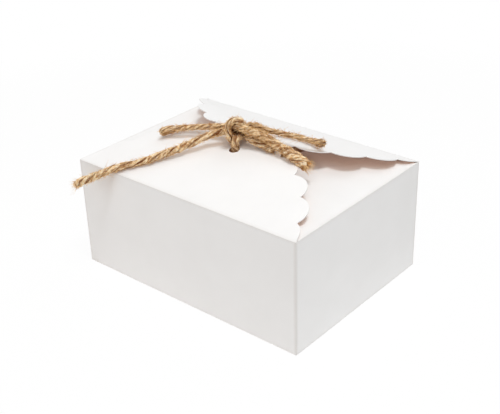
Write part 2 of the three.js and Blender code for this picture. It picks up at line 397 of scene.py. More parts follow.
@dataclass(frozen=True)
class BoardFinish:
    """Board that is white and matt outside and kraft brown inside, with faint clouds and fibre, and painted shade
    along its folds.
    """

    white: Colour = (0.9, 0.893, 0.888, 1)
    cloud: Stain = Stain((0.88, 0.872, 0.866, 1), 0.35, 0.7)
    kraft: Colour = (0.62, 0.41, 0.27, 1)
    fleck: Stain = Stain((0.50, 0.31, 0.19, 1), 0.45, 0.65)
    cloud_scale: float = 38
    fibre_scale: float = 1300
    roughness: float = 0.5
    fibre_roughness: float = 0.12
    gloss: float = 0.35
    relief: float = 0.05
    relief_height: float = 0.2 * MM
    let_through: Colour = (0.5, 0.415, 0.385, 1)
    # Painted shade along the folds: the colour the white face darkens to there
    fold_shade: Colour = (0.75, 0.72, 0.695, 1)
    crease_width: float = 2.4 * MM
    crease_power: float = 1.5
    level_fold_shade: float = 0.6
    inward_over: float = 0.5

    def painted_fold_shade(self, graph: Graph, where: Socket) -> Socket:
        """Finds the carton's folds, where painted shade makes the white face a little darker.

        Args:
            graph: The material's graph.
            where: The piece's own coordinates.

        Returns:
            A socket that rises to 1 along each upright fold, and less along the level ones.
        """
        axes = graph.put(graph.add("SeparateXYZ"), Vector=where)
        near = []
        for axis, middle, reach in (
            ("X", 0, BOX.half_length),
            ("Y", 0, BOX.half_width),
            ("Z", BOX.height / 2, BOX.height / 2),
        ):
            away = graph.math("ABSOLUTE", graph.math("SUBTRACT", axes.outputs[axis], middle))
            near.append(graph.spread(away, reach - self.crease_width, reach))
        x, y, z = near
        top = graph.math("MULTIPLY", z, self.level_fold_shade)
        level = graph.math("MULTIPLY", graph.math("MAXIMUM", x, y), top)
        folds = graph.math("MAXIMUM", level, graph.math("MULTIPLY", x, y))
        return graph.math("POWER", folds, self.crease_power)

    def inside(self, graph: Graph, packed: bool) -> Socket:
        """Tells the kraft side of the board from the white one.

        Args:
            graph: The material's graph.
            packed: Whether the board is a packed base panel or the seam, whose kraft side faces
                up or towards the front; the other pieces carry an attribute for it.

        Returns:
            A socket that gives 1 on the kraft side and 0 on the white one.
        """
        if not packed:
            return graph.add("Attribute", attribute_name=INSIDE).outputs["Fac"]
        normal = graph.add("NewGeometry").outputs["Normal"]
        facing = graph.put(graph.add("SeparateXYZ"), Vector=normal).outputs
        forward = graph.math("MULTIPLY", facing["Y"], -1)
        inward = graph.math("MAXIMUM", facing["Z"], forward)
        return graph.math("GREATER_THAN", inward, self.inward_over)

    def material(self, fibres: NodeTree, packed: bool = False) -> Material:
        """Makes the board's material.

        Args:
            fibres: The fibre_surface group.
            packed: Whether it is for the base panels and the seam, which stay as packed.

        Returns:
            The material.
        """
        made, graph, shader = new_material("packed_board" if packed else "white_board")
        where = graph.add("TexCoord").outputs["Object"]
        surface = graph.add("Group", node_tree=fibres)
        graph.put(surface, Vector=where, Cloud_Scale=self.cloud_scale, Fibre_Scale=self.fibre_scale)
        cloud, fibre, height = surface.outputs
        outer = self.cloud.lay(graph, cloud, self.white)
        if not packed:
            # Painted shade along the folds, the upright ones most
            outer = graph.mix(self.painted_fold_shade(graph, where), outer, self.fold_shade)
        inner = self.fleck.lay(graph, fibre, self.kraft)
        colour = graph.mix(self.inside(graph, packed), outer, inner)
        rough = graph.math("MULTIPLY_ADD", fibre, self.fibre_roughness, self.roughness)
        bump = graph.add("Bump")
        graph.put(bump, Strength=self.relief, Distance=self.relief_height, Height=height)
        graph.put(shader, Base_Color=colour, Roughness=rough, Normal=bump.outputs[0])
        graph.put(shader, Specular_IOR_Level=self.gloss)
        soften_shadow(graph, shader, self.let_through)
        return made


@dataclass(frozen=True)
class JuteFinish:
    """Jute: straw to brown fibres that run along each ply, with painted shade down in the grooves and in the bow's
    hollows.
    """

    straw: Colour = (1.0, 0.84, 0.57, 1)
    tan: Stain = Stain((0.86, 0.48, 0.175, 1), 0.47, 0.6)
    bleach: Stain = Stain((1.0, 0.93, 0.76, 1), 0.54, 0.66, 0.5)
    fleck: Stain = Stain((0.34, 0.115, 0.02, 1), 0.5, 0.6, 0.75)
    patch: Stain = Stain((0.34, 0.115, 0.02, 1), 0.52, 0.66, 0.55)
    # Painted shade down in the grooves between plies, following the depth attribute
    groove_shade: Stain = Stain((0.15, 0.035, 0.004, 1), 0.16, 0.54)
    # Painted shade where the ambient occlusion node finds the twine closed in, in the knot and between strands
    hollow_shade: Stain = Stain((0.15, 0.035, 0.004, 1), 0.8, 0.25)
    bleach_grain: Grain = (260, 3.0, 0.6)
    patch_grain: Grain = (330, 2.0, 0.5)
    stretch: Point = (1.3, 3.2, 1.0)
    cloud_scale: float = 1.9
    fibre_scale: float = 5.5
    hollow_reach: float = 5 * MM
    hollow_samples: int = 6
    let_through: Colour = (0.86, 0.8, 0.75, 1)
    roughness: float = 0.85
    gloss: float = 0.06
    relief: float = 0.9
    relief_height: float = 0.3 * MM

    def material(self, fibres: NodeTree) -> Material:
        """Makes the twine's material, which follows the ply map and the depth attribute.

        Args:
            fibres: The fibre_surface group.

        Returns:
            The material.
        """
        made, graph, shader = new_material("jute")
        along = graph.add("UVMap", uv_map="ply").outputs[0]
        stretched = graph.put(graph.add("Mapping"), Vector=along, Scale=self.stretch).outputs[0]
        streaks = graph.add("Group", node_tree=fibres)
        graph.put(streaks, Vector=stretched)
        graph.put(streaks, Cloud_Scale=self.cloud_scale, Fibre_Scale=self.fibre_scale)
        cloud, fibre, height = streaks.outputs
        where = graph.add("TexCoord").outputs["Object"]
        depth = graph.add("Attribute", attribute_name="depth").outputs["Fac"]
        open_sky = graph.add("AmbientOcclusion", samples=self.hollow_samples)
        graph.put(open_sky, Distance=self.hollow_reach)
        colour = self.straw
        for stain, value in (
            (self.tan, fibre),
            (self.bleach, graph.noise(where, self.bleach_grain)),
            (self.fleck, cloud),
            (self.patch, graph.noise(where, self.patch_grain)),
            # Painted shade in the grooves
            (self.groove_shade, depth),
            # Painted shade where the twine is closed in
            (self.hollow_shade, open_sky.outputs["AO"]),
        ):
            colour = stain.lay(graph, value, colour)
        bump = graph.add("Bump")
        graph.put(bump, Strength=self.relief, Distance=self.relief_height, Height=height)
        graph.put(shader, Base_Color=colour, Roughness=self.roughness, Normal=bump.outputs[0])
        graph.put(shader, Specular_IOR_Level=self.gloss)
        soften_shadow(graph, shader, self.let_through)
        return made


@dataclass(frozen=True)
class FuzzFinish:
    """Loose jute fibres, paler than the twine."""

    straw: Colour = (0.95, 0.7, 0.38, 1)
    tan: Stain = Stain((0.6, 0.29, 0.08, 1), 0.4, 0.65)
    grain: Grain = (420, 2.0, 0.5)
    roughness: float = 0.8
    gloss: float = 0.12

    def material(self) -> Material:
        """Makes the loose fibres' material."""
        made, graph, shader = new_material("jute_fuzz")
        where = graph.add("TexCoord").outputs["Object"]
        colour = self.tan.lay(graph, graph.noise(where, self.grain), self.straw)
        graph.put(shader, Base_Color=colour, Roughness=self.roughness)
        graph.put(shader, Specular_IOR_Level=self.gloss)
        return made


# Meshes


def new_object(name: str, data: bpy.types.ID) -> bpy.types.Object:
    """Puts a new object into the scene."""
    made = bpy.data.objects.new(name, data)
    bpy.context.scene.collection.objects.link(made)
    return made


def new_mesh(bm: BMesh, name: str, material: Material) -> bpy.types.Object:
    """Puts a bmesh into the scene as an object, and frees it."""
    mesh = bpy.data.meshes.new(name)
    bm.to_mesh(mesh)
    bm.free()
    mesh.materials.append(material)
    return new_object(name, mesh)


def finish_piece(
    bm: BMesh, name: str, body: Body, slot: Slot, material: Material, nodes: Iterable[str] = ()
) -> bpy.types.Object:
    """Turns a bmesh into a shown piece.

    Args:
        bm: The mesh, which is freed.
        name: The piece's name.
        body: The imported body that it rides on.
        slot: The record's material slot.
        material: Its material.
        nodes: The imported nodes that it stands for.

    Returns:
        The piece.
    """
    piece = new_mesh(bm, name, material)
    piece.data.shade_smooth()
    piece.data.set_sharp_from_angle(angle=SMOOTH_UNDER)
    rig.ride(piece, body.value)
    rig.slot(piece, slot.value)
    if nodes:
        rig.replaces(piece, *nodes)
    log.info("%s: %d faces on %s", name, len(piece.data.polygons), body.value)
    return piece


def cut(bm: BMesh, at: Vector, across: Vector, clear: bool = False) -> dict[str, list]:
    """Cuts the whole mesh by a plane, and clears what lies past it if asked."""
    whole = bm.verts[:] + bm.edges[:] + bm.faces[:]
    return bmesh.ops.bisect_plane(
        bm, geom=whole, dist=CUT_SNAP, plane_co=at, plane_no=across, clear_outer=clear
    )


def slice_up(bm: BMesh, across: Vector, start: float, end: float, cell: float) -> None:
    """Cuts the whole mesh by planes about a cell apart, from start to end along their normal."""
    count = max(1, round((end - start) / cell))
    for i in range(1, count):
        cut(bm, across * (start + (end - start) * i / count), across)


def mark_inside(bm: BMesh, inward: Vector) -> None:
    """Marks the faces on the kraft side of the board, which face inward."""
    layer = bm.faces.layers.float.new(INSIDE)
    bm.normal_update()
    for face in bm.faces:
        face[layer] = float(face.normal.dot(inward) > FACING)


def thicken(bm: BMesh) -> None:
    """Gives a flat sheet at z 0 the board's thickness, half above and half below."""
    raised = bmesh.ops.extrude_face_region(bm, geom=bm.faces[:])
    top = [v for v in raised["geom"] if isinstance(v, bmesh.types.BMVert)]
    bmesh.ops.translate(bm, verts=top, vec=(0, 0, BOX.board))
    bmesh.ops.translate(bm, verts=bm.verts[:], vec=(0, 0, -BOX.board / 2))
    bmesh.ops.recalc_face_normals(bm, faces=bm.faces[:])


def bevel(bm: BMesh, geom: list, offset: float, segments: int, affect: str) -> None:
    """Rounds EDGES or VERTICES, starting at an offset from them."""
    bmesh.ops.bevel(
        bm, geom=geom, offset=offset, segments=segments, profile=0.5, affect=affect, material=-1
    )


@dataclass
class CartonWalls:
    """Four walls folded from one strip, rounded at the upright creases and at the top folds."""

    crease: float = 0.6 * MM
    crease_segments: int = 5
    top_round: float = 0.49 * BOX.board
    top_segments: int = 3
    inner_edge: float = 0.75 * BOX.board

    def ring(self) -> BMesh:
        """Makes the folded strip whole: a tube of board with rounded creases."""
        bm = bmesh.new()
        size = Matrix.Diagonal((2 * BOX.half_length, 2 * BOX.half_width, BOX.height, 1))
        middle = Matrix.Translation((0, 0, BOX.height / 2))
        bmesh.ops.create_cube(bm, size=1, matrix=middle @ size)
        upright = [e for e in bm.edges if abs(e.verts[0].co.z - e.verts[1].co.z) > BOX.height / 2]
        bevel(bm, upright, self.crease, self.crease_segments, "EDGES")
        ends = [f for f in bm.faces if abs(f.normal.z) > FACING]
        bmesh.ops.delete(bm, geom=ends, context="FACES_ONLY")
        bmesh.ops.recalc_face_normals(bm, faces=bm.faces[:])
        bmesh.ops.solidify(bm, geom=bm.faces[:], thickness=BOX.board)
        level = [e for e in bm.edges if min(v.co.z for v in e.verts) > BOX.height - LEVEL_SNAP]
        top = [e for e in level if self.runs_round(e)]
        bevel(bm, top, self.top_round, self.top_segments, "EDGES")
        return bm

    def runs_round(self, edge: bmesh.types.BMEdge) -> bool:
        """Tells whether a top edge runs round the carton, not across the board."""
        x, y = BOX.half_length - self.inner_edge, BOX.half_width - self.inner_edge
        outside = [abs(v.co.x) > x or abs(v.co.y) > y for v in edge.verts]
        return outside[0] == outside[1]

    def wall(self, towards: Vector) -> BMesh:
        """Cuts one wall out of the ring at the two mitres beside it.

        Args:
            towards: The way the wall faces, along X or Y.

        Returns:
            The wall as a closed mesh.
        """
        bm = self.ring()
        beside = Vector((-towards.y, towards.x, 0))
        for side in (1, -1):
            corner = towards + side * beside
            at = Vector((BOX.half_length * corner.x, BOX.half_width * corner.y, 0))
            mitre = cut(bm, at, (beside * side - towards).normalized(), clear=True)
            rim = [e for e in mitre["geom_cut"] if isinstance(e, bmesh.types.BMEdge)]
            bmesh.ops.holes_fill(bm, edges=rim, sides=0)
        mark_inside(bm, -towards)
        return bm

    def build(self, material: Material) -> None:
        """Makes the four walls."""
        for name, towards in (
            ("front_wall", Vector((0, -1, 0))),
            ("back_wall", Vector((0, 1, 0))),
            ("left_wall", Vector((-1, 0, 0))),
            ("right_wall", Vector((1, 0, 0))),
        ):
            wall = self.wall(towards)
            finish_piece(wall, f"{name}_board", Body.CARTON, Slot.BOARD, material, [name])


@dataclass
class ScallopedFlap:
    """A bent flap with nine scallops on one arc and a hole for the twine.

    Its left corner, seen from the front of the box, lifts by corner_lift degrees and draws in by
    corner_draw at the middle of the box.
    """

    node: str
    body: Body
    slope: float
    flattening: float
    corner_lift: float
    corner_draw: float = 0
    turned: bool = False
    scallops: int = 9
    rise: float = 6.1 * MM
    past_middle: float = 0.7 * MM
    notch_inset: float = 8.8 * MM
    notch_reach: float = 13 * MM
    shoulder_lean: float = 2 * MM
    shoulder_pulls: Sequence[Span] = ((1, 0.54), (1.5, 0.85))
    hole: float = 7 * MM
    hole_segments: int = 32
    hole_from_notches: float = 13 * MM
    hole_off_centre: float = 1.6 * MM
    lift_starts: float = 0.25
    arc_steps: int = 12
    cell: float = 3.5 * MM

    def __post_init__(self) -> None:
        """Works out the lifted corner's side and the ring that the notches lie on."""
        self.corner = 1 if self.turned else -1
        self.notch = BOX.half_length - self.notch_inset
        self.top = BOX.half_width + self.past_middle
        rise = self.top - self.notch_reach
        self.radius = (self.notch**2 + rise**2) / (2 * rise)
        self.centre = self.top - self.radius
        self.pitch = 2 * math.asin(self.notch / self.radius) / self.scallops
        self.half_chord = self.radius * math.sin(self.pitch / 2)
        self.arc_radius = (self.half_chord**2 + self.rise**2) / (2 * self.rise)
        self.arc_ring = self.radius * math.cos(self.pitch / 2) + self.rise - self.arc_radius

    def on_ring(self, radius: float, turn: float) -> Vector:
        """Gives the point at a radius and an angle from the middle, about the ring's centre."""
        return Vector((radius * math.sin(turn), self.centre + radius * math.cos(turn), 0))

    def shoulder(self, side: int) -> list[Vector]:
        """Gives the cut from a corner of the fold to the first notch.

        Args:
            side: 1 for the right-hand end and -1 for the left-hand one.

        Returns:
            Points on the flat sheet.
        """
        a = Vector((side * BOX.half_length, 0, 0))
        b, c = (
            Vector((side * (BOX.half_length - x * self.shoulder_lean), self.notch_reach * y, 0))
            for x, y in self.shoulder_pulls
        )
        d = Vector((side * self.notch, self.notch_reach, 0))
        points = []
        for i in range(self.arc_steps + 1):
            t = i / self.arc_steps
            u = 1 - t
            points.append(a * u**3 + b * (3 * u * u * t) + c * (3 * u * t * t) + d * t**3)
        return points

    def flat(self) -> BMesh:
        """Makes the flat sheet with its fold on the X axis."""
        bm = bmesh.new()
        swing = 2 * math.asin(self.half_chord / self.arc_radius)
        for i in range(self.scallops):
            turn = (i - (self.scallops - 1) / 2) * self.pitch
            first = bm.verts.new(self.on_ring(self.radius, turn - self.pitch / 2))
            middle = self.on_ring(self.arc_ring, turn)
            bmesh.ops.spin(
                bm, geom=[first], cent=middle, axis=(0, 0, 1), angle=-swing, steps=self.arc_steps
            )
        for side in (1, -1):
            run = [bm.verts.new(p) for p in self.shoulder(side)]
            for before, after in zip(run, run[1:]):
                bm.edges.new((before, after))
        bmesh.ops.remove_doubles(bm, verts=bm.verts[:], dist=OUTLINE_SNAP)
        bm.edges.new(sorted(bm.verts, key=lambda v: (v.co.y, v.co.x))[:2])
        across, along = -self.corner * self.hole_off_centre, self.top - self.hole_from_notches
        place = Matrix.Translation((across, along, 0))
        bmesh.ops.create_circle(bm, radius=self.hole / 2, segments=self.hole_segments, matrix=place)
        bmesh.ops.triangle_fill(bm, use_beauty=True, edges=bm.edges[:], normal=(0, 0, 1))
        slice_up(bm, Vector((1, 0, 0)), -BOX.half_length, BOX.half_length, self.cell)
        slice_up(bm, Vector((0, 1, 0)), 0, self.top + self.rise, self.cell)
        return bm

    def bend(self, at: Vector) -> Vector:
        """Carries a point of the flat sheet onto the bent flap, its fold still on the X axis."""
        past = self.corner * at.x / BOX.half_length - self.lift_starts
        along = max(0, past / (1 - self.lift_starts))
        start = math.radians(self.slope + self.corner_lift * along**3)
        turn = math.radians(self.flattening) / BOX.half_width
        angle = start - turn * at.y
        x = at.x - self.corner * self.corner_draw * along * (at.y / BOX.half_width) ** 2
        y = (math.sin(start) - math.sin(angle)) / turn - math.sin(angle) * at.z
        z = (math.cos(angle) - math.cos(start)) / turn + math.cos(angle) * at.z
        return Vector((x, y, z))

    def build(self, material: Material) -> None:
        """Makes the flap in its place."""
        bm = self.flat()
        thicken(bm)
        mark_inside(bm, Vector((0, 0, -1)))
        for vertex in bm.verts:
            vertex.co = self.bend(vertex.co)
        fold = BOX.half_width - BOX.board / 2
        place = Matrix.Translation((0, self.corner * fold, BOX.fold_height))
        if self.turned:
            place = place @ Matrix.Rotation(math.pi, 4, "Z")
        bmesh.ops.transform(bm, matrix=place, verts=bm.verts[:])
        finish_piece(bm, f"{self.node}_board", self.body, Slot.BOARD, material, [self.node])


@dataclass
class EndFlap:
    """A tapered tab with rounded corners that folds in first, under the scalloped flaps."""

    node: str
    body: Body
    turned: bool = False
    reach: float = 66 * MM
    shoulder: float = 2.5 * MM
    taper: float = 25
    corner: float = 7.2 * MM
    corner_segments: int = 10
    cell: float = 6 * MM
    slope: float = 2.4

    def build(self, material: Material) -> None:
        """Makes the tab in its place."""
        bm = bmesh.new()
        root = BOX.half_width - self.shoulder
        tip = root - self.reach * math.tan(math.radians(self.taper))
        corners = ((0, -root), (0, root), (-self.reach, tip), (-self.reach, -tip))
        outline = [bm.verts.new((x, y, 0)) for x, y in corners]
        bm.faces.new(outline)
        bevel(bm, outline[2:], self.corner, self.corner_segments, "VERTICES")
        slice_up(bm, Vector((1, 0, 0)), -self.reach, 0, self.cell)
        thicken(bm)
        mark_inside(bm, Vector((0, 0, -1)))
        place = Matrix.Translation((BOX.half_length - BOX.board / 2, 0, BOX.fold_height))
        place = place @ Matrix.Rotation(math.radians(self.slope), 4, "Y")
        if self.turned:
            place = Matrix.Rotation(math.pi, 4, "Z") @ place
        bmesh.ops.transform(bm, matrix=place, verts=bm.verts[:])
        finish_piece(bm, f"{self.node}_board", self.body, Slot.BOARD, material, [self.node])


# Twine


def centripetal(points: Sequence[Vector], step: float, fineness: int = 24) -> list[Vector]:
    """Runs a smooth curve through points and walks it in even steps.

    Args:
        points: The points that it goes through.
        step: About how long each step is.
        fineness: How many parts each stretch is measured in.

    Returns:
        Points along the curve, its two ends among them.
    """
    least_gap, least_length = 1e-6, 1e-12
    fine: list[Vector] = []
    for i in range(len(points) - 1):
        p1, p2 = points[i], points[i + 1]
        p0 = points[i - 1] if i else p1 * 2 - p2
        p3 = points[i + 2] if i + 2 < len(points) else p2 * 2 - p1
        stretches = ((p0, p1), (p1, p2), (p2, p3))
        d0, d1, d2 = (max((b - a).length ** 0.5, least_gap) for a, b in stretches)
        t1 = ((p1 - p0) / d0 - (p2 - p0) / (d0 + d1) + (p2 - p1) / d1) * d1
        t2 = ((p2 - p1) / d1 - (p3 - p1) / (d1 + d2) + (p3 - p2) / d2) * d1
        squared = p2 * 3 - p1 * 3 - t1 * 2 - t2
        cubed = p1 * 2 - p2 * 2 + t1 + t2
        for k in range(fineness):
            t = k / fineness
            fine.append(p1 + t1 * t + squared * t**2 + cubed * t**3)
    fine.append(points[-1].copy())
    lengths = [0.0]
    for a, b in zip(fine, fine[1:]):
        lengths.append(lengths[-1] + (b - a).length)
    count = max(2, round(lengths[-1] / step))
    even, k = [], 0
    for i in range(count + 1):
        want = lengths[-1] * i / count
        while k < len(fine) - 2 and lengths[k + 1] < want:
            k += 1
        share = (want - lengths[k]) / max(lengths[k + 1] - lengths[k], least_length)
        even.append(fine[k].lerp(fine[k + 1], min(share, 1)))
    return even


def ahead_at(line: Sequence[Vector], i: int) -> Vector:
    """Gives the direction of a line at one of its points."""
    return (line[min(i + 1, len(line) - 1)] - line[max(i - 1, 0)]).normalized()


def carried_frames(line: Sequence[Vector]) -> list[tuple[Vector, Vector, Vector]]:
    """Carries a frame along a line without twisting it.

    Args:
        line: The line's points.

    Returns:
        At each point the direction and two normals.
    """
    frames = []
    side = None
    for i in range(len(line)):
        ahead = ahead_at(line, i)
        if side is None:
            side = ahead.orthogonal().normalized()
        else:
            side = (side - ahead * side.dot(ahead)).normalized()
        frames.append((ahead, side, ahead.cross(side)))
    return frames


def around(side: Vector, up: Vector, angle: float) -> Vector:
    """Gives the way out of a line at an angle about it."""
    return side * math.cos(angle) + up * math.sin(angle)


def skin(bm: BMesh, rings: Sequence[Sequence[bmesh.types.BMVert]]) -> list[list]:
    """Joins rings of points into a closed tube.

    Args:
        bm: The mesh.
        rings: The rings, each with as many points as the next.

    Returns:
        The faces between each ring and the next.
    """
    rows = []
    for near, far in zip(rings, rings[1:]):
        turns = [(j, (j + 1) % len(near)) for j in range(len(near))]
        rows.append([bm.faces.new((near[j], near[k], far[k], far[j])) for j, k in turns])
    bm.faces.new(list(reversed(rings[0])))
    bm.faces.new(rings[-1])
    return rows


@dataclass(frozen=True)
class Swing:
    """A smooth chance swing along a run: how far it goes, and how fast it changes in a metre."""

    reach: float
    rate: float

    def at(self, along: float, row: float, sheet: float) -> float:
        """Gives the swing at a place, where row and sheet keep plies and runs apart."""
        return self.reach * noise.noise(Vector((along * self.rate, row, sheet)))


@dataclass(frozen=True)
class Fibres:
    """How loose fibres stand off the twine.

    Their lengths in mm are lognormal, with a longest one. They lean away from the twine between
    two shares, curl by a share of their length, and root at a share of the twine's radius.
    """

    log_length: float
    log_spread: float
    longest: float
    lean: Span
    curl: float
    root: float

    def draw(self, pick: random.Random) -> tuple[float, Vector]:
        """Draws a fibre's length and how far its tip strays."""
        length = min(pick.lognormvariate(self.log_length, self.log_spread), self.longest) * MM
        return length, Vector([pick.uniform(-1, 1) for _ in range(3)]) * length * self.curl


@dataclass
class TwineRun:
    """A run of laid twine, its plies turning about its route, with loose fibres on it."""

    name: str
    route: Route
    node: str
    far_end: FarEnd
    radius: float = 2.5 * MM
    plies: int = 3
    ply_offset: float = 0.37
    ply_size: float = 0.63
    lay: Lay = Lay.LEFT
    lay_length: float = 23 * MM
    step: float = 0.55 * MM
    sides: int = 18
    wander: Swing = Swing(0.2, 110)
    drift: Swing = Swing(2.0, 45)
    jitter: Swing = Swing(0.5, 110)
    plump: Swing = Swing(0.3, 75)
    lump: Swing = Swing(0.3, 240)
    ridge: Swing = Swing(0.32, 90)
    end_round: float = 0.9 * MM
    end_size: float = 0.35
    map_per_metre: float = 100
    hairs_per_mm: float = 12
    hair_sizes: Sequence[float] = (0.085 * MM, 0.08 * MM, 0.06 * MM, 0.035 * MM)
    hair_places: Sequence[float] = (0, 0.33, 0.66, 1)
    hair_sides: int = 3
    loose: Fibres = Fibres(0.35, 0.55, 6.5, (0.2, 1), 0.3, 0.93)
    brushed: Fibres = Fibres(1.1, 0.5, 9, (0.2, 0.9), 0.25, 0.85)
    brush: int = 0
    brush_root: float = 1.2 * MM
    loosening: float = 0
    loosens_over: float = 26 * MM
    seed: int = 1

    def __post_init__(self) -> None:
        """Smooths the route, which is in mm with its heights above the rim."""
        rim = Vector((0, 0, BOX.height))
        places = [Vector([value * MM for value in point]) + rim for point in self.route]
        self.line = centripetal(places, self.step)
        self.frames = carried_frames(self.line)
        self.length = sum((b - a).length for a, b in zip(self.line, self.line[1:]))

    def swell(self, at: float) -> float:
        """Gives the radius at a place, which wanders, loosens and draws in at the run's ends."""
        wander = 1 + self.wander.at(at, self.seed * 7.3, 0)
        left = self.length - at
        loose = 1 + self.loosening * max(0, 1 - left / self.loosens_over) ** 1.5
        end = max(min(at, left) / self.end_round, 0)
        drawn = math.sqrt(min(1, self.end_size + (1 - self.end_size) * end))
        return self.radius * wander * loose * drawn

    def ply_line(self, turn: float, spacing: float) -> tuple[list[Vector], list[Vector]]:
        """Gives the middle of a ply and the way out of the run from it.

        Args:
            turn: The ply's place about the run, in radians.
            spacing: The distance from each point of the run to the next.

        Returns:
            The ply's points, and a direction for each.
        """
        middles, outs = [], []
        for i, (point, (_, side, up)) in enumerate(zip(self.line, self.frames)):
            at = i * spacing
            strays = self.drift.at(at, self.seed * 3.1, 4) + self.jitter.at(at, self.seed, turn * 7)
            angle = turn + self.lay.value * 2 * math.pi * i * spacing / self.lay_length + strays
            out = around(side, up, angle)
            middles.append(point + out * self.swell(at) * self.ply_offset)
            outs.append(out)
        return middles, outs

    def add_ply(self, bm: BMesh, turn: float) -> None:
        """Adds one ply as a closed tube, with its own map and its depth in the run.

        Args:
            bm: The mesh.
            turn: The ply's place about the run, in radians.
        """
        uv = bm.loops.layers.uv.verify()
        depth = bm.verts.layers.float.get("depth") or bm.verts.layers.float.new("depth")
        spacing = self.length / (len(self.line) - 1)
        middles, outs = self.ply_line(turn, spacing)
        rings = []
        for i, middle in enumerate(middles):
            at = i * spacing
            ahead = ahead_at(middles, i)
            out = (outs[i] - ahead * outs[i].dot(ahead)).normalized()
            across = ahead.cross(out)
            plump = 1 + self.plump.at(at, turn * 2.3, self.seed + 9)
            size = self.swell(at) * self.ply_size * plump
            ring = []
            for j in range(self.sides):
                about = 2 * math.pi * j / self.sides
                lump = self.lump.at(at, about * 1.6 + turn * 5, self.seed)
                ridge = self.ridge.at(at, about * 3 + turn * 9, self.seed + 31)
                r = size * (1 + lump + ridge)
                place = middle - out * math.cos(about) * r + across * math.sin(about) * r
                vertex = bm.verts.new(place)
                # The depth sets how much painted groove shade the jute lays on
                vertex[depth] = 0.5 + 0.5 * math.cos(about)
                ring.append(vertex)
            rings.append(ring)
        for i, row in enumerate(skin(bm, rings)):
            for j, face in enumerate(row):
                for loop, u, v in zip(face.loops, (i, i, i + 1, i + 1), (j, j + 1, j + 1, j)):
                    along = u * spacing * self.map_per_metre + turn * 3.1
                    loop[uv].uv = (along, v / self.sides + turn)

    def add_hair(self, bm: BMesh, root: Vector, way: Vector, length: float, curl: Vector) -> None:
        """Adds one loose fibre: a thin curved tube.

        Args:
            bm: The mesh.
            root: Where it leaves the twine.
            way: Its direction there.
            length: Its length.
            curl: How far its tip strays.
        """
        line = [root + way * length * t + curl * t * t for t in self.hair_places]
        corners = [2 * math.pi * j / self.hair_sides for j in range(self.hair_sides)]
        rings = []
        for point, (_, side, up), size in zip(line, carried_frames(line), self.hair_sizes):
            rings.append([bm.verts.new(point + around(side, up, c) * size) for c in corners])
        skin(bm, rings)

    def fuzz(self, material: Material) -> bpy.types.Object:
        """Makes the loose fibres on the run, and the brush at its cut end.

        Args:
            material: The fibres' material.

        Returns:
            The piece.
        """
        pick = random.Random(self.seed)
        bm = bmesh.new()
        for _ in range(round(self.length / MM * self.hairs_per_mm)):
            i = pick.randrange(len(self.line))
            ahead, side, up = self.frames[i]
            out = around(side, up, pick.uniform(0, 2 * math.pi))
            lean = pick.uniform(*self.loose.lean)
            way = (out * lean + ahead * pick.choice((-1, 1))).normalized()
            root = self.line[i] + out * self.radius * self.loose.root
            self.add_hair(bm, root, way, *self.loose.draw(pick))
        ahead, side, up = self.frames[-1]
        for _ in range(self.brush):
            out = around(side, up, pick.uniform(0, 2 * math.pi))
            reach = math.sqrt(pick.random())
            way = (ahead + out * reach * pick.uniform(*self.brushed.lean)).normalized()
            root = self.line[-1] - ahead * self.brush_root
            root += out * reach * self.radius * self.brushed.root
            self.add_hair(bm, root, way, *self.brushed.draw(pick))
        return finish_piece(bm, f"{self.name}_fuzz", Body.BOW, Slot.TWINE, material)

    def build(self, jute: Material, fuzz: Material) -> None:
        """Args:
            jute: The twine's material.
            fuzz: The loose fibres' material.
        """
        bm = bmesh.new()
        for k in range(self.plies):
            self.add_ply(bm, 2 * math.pi * k / self.plies + self.seed)
        piece = finish_piece(bm, self.name, Body.BOW, Slot.TWINE, jute, [self.node])
        piece.data.uv_layers[0].name = "ply"
        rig.cord(
            piece,
            exit=self.line[0],
            length=self.length,
            diameter=2 * self.radius,
            far_end=self.far_end.value,
            stiffness="limp",
            lay="loose",
            path=self.line,
            with_pieces=[self.fuzz(fuzz)],
        )


LEFT_TAIL: Route = (
    (5, -6, 26.2), (-2, -9.5, 25.8), (-8.8, -14.9, 22.9), (-15, -20.5, 20.6), (-21.5, -28.5, 16.9),
    (-30.5, -39.3, 12.4), (-36.3, -45.4, 9.6), (-42.8, -52.7, 6.9), (-50.9, -59.6, 4.6),
    (-55.2, -64.6, 3.3), (-59, -69.5, 1.5), (-64, -71.5, -1.2), (-69.3, -73, -4.2),
    (-76.3, -75, -8.3), (-81, -76.5, -11),
)
RIGHT_TAIL: Route = (
    (-1, -10, 29), (4.4, -10.6, 29), (10.3, -9, 26.2), (17.5, -6.8, 24.9), (27.5, -6.4, 22.3),
    (36.6, -7, 19.9), (44.8, -7.8, 18.2), (50.6, -7.6, 16.2), (54, -7.4, 14.8),
)
SHORT_END: Route = (
    (-1, -5, 23.5), (4.2, -6, 22.6), (10.3, -8.4, 21.2), (15.9, -6.6, 19.6), (22.1, -6, 18.2),
    (27.6, -6, 17.3),
)
LEFT_LOOP: Route = (
    (4, -5, 26.2), (-2.5, -7.2, 25.8), (-8.3, -9, 25), (-12, -9.8, 24.6), (-20, -12, 22.9),
    (-31, -15, 20.7), (-41.2, -20.2, 19.2), (-47.2, -24, 18.5), (-50.6, -25.8, 17),
    (-51.6, -24, 14.1), (-48.4, -18.6, 14.8), (-43, -13.5, 16.4), (-34, -9.8, 18.2),
    (-24, -7, 19.4), (-8.3, -6.6, 20), (-2.5, -6, 21.5),
)
RIGHT_LOOP: Route = (
    (0, -9, 27.8), (4.6, -2.2, 26.8), (8.2, 2, 25.5), (17.4, 2.6, 24.7), (26.2, 3.9, 24.5),
    (33.1, 5.2, 24.2), (40.2, 6.4, 23.8), (45.2, 8.6, 23.2), (50, 11.4, 22.8), (51, 14.4, 21.3),
    (48.6, 15.8, 18.3), (44.6, 17.4, 16.9), (37.4, 20.2, 16.2), (28.6, 21.2, 15.9),
    (21.4, 20, 16.2), (14.6, 17.6, 16.8), (9.6, 12.6, 18.4), (5.8, 5.5, 20.5), (3.8, -2.2, 21.4),
    (1.5, -9, 23),
)
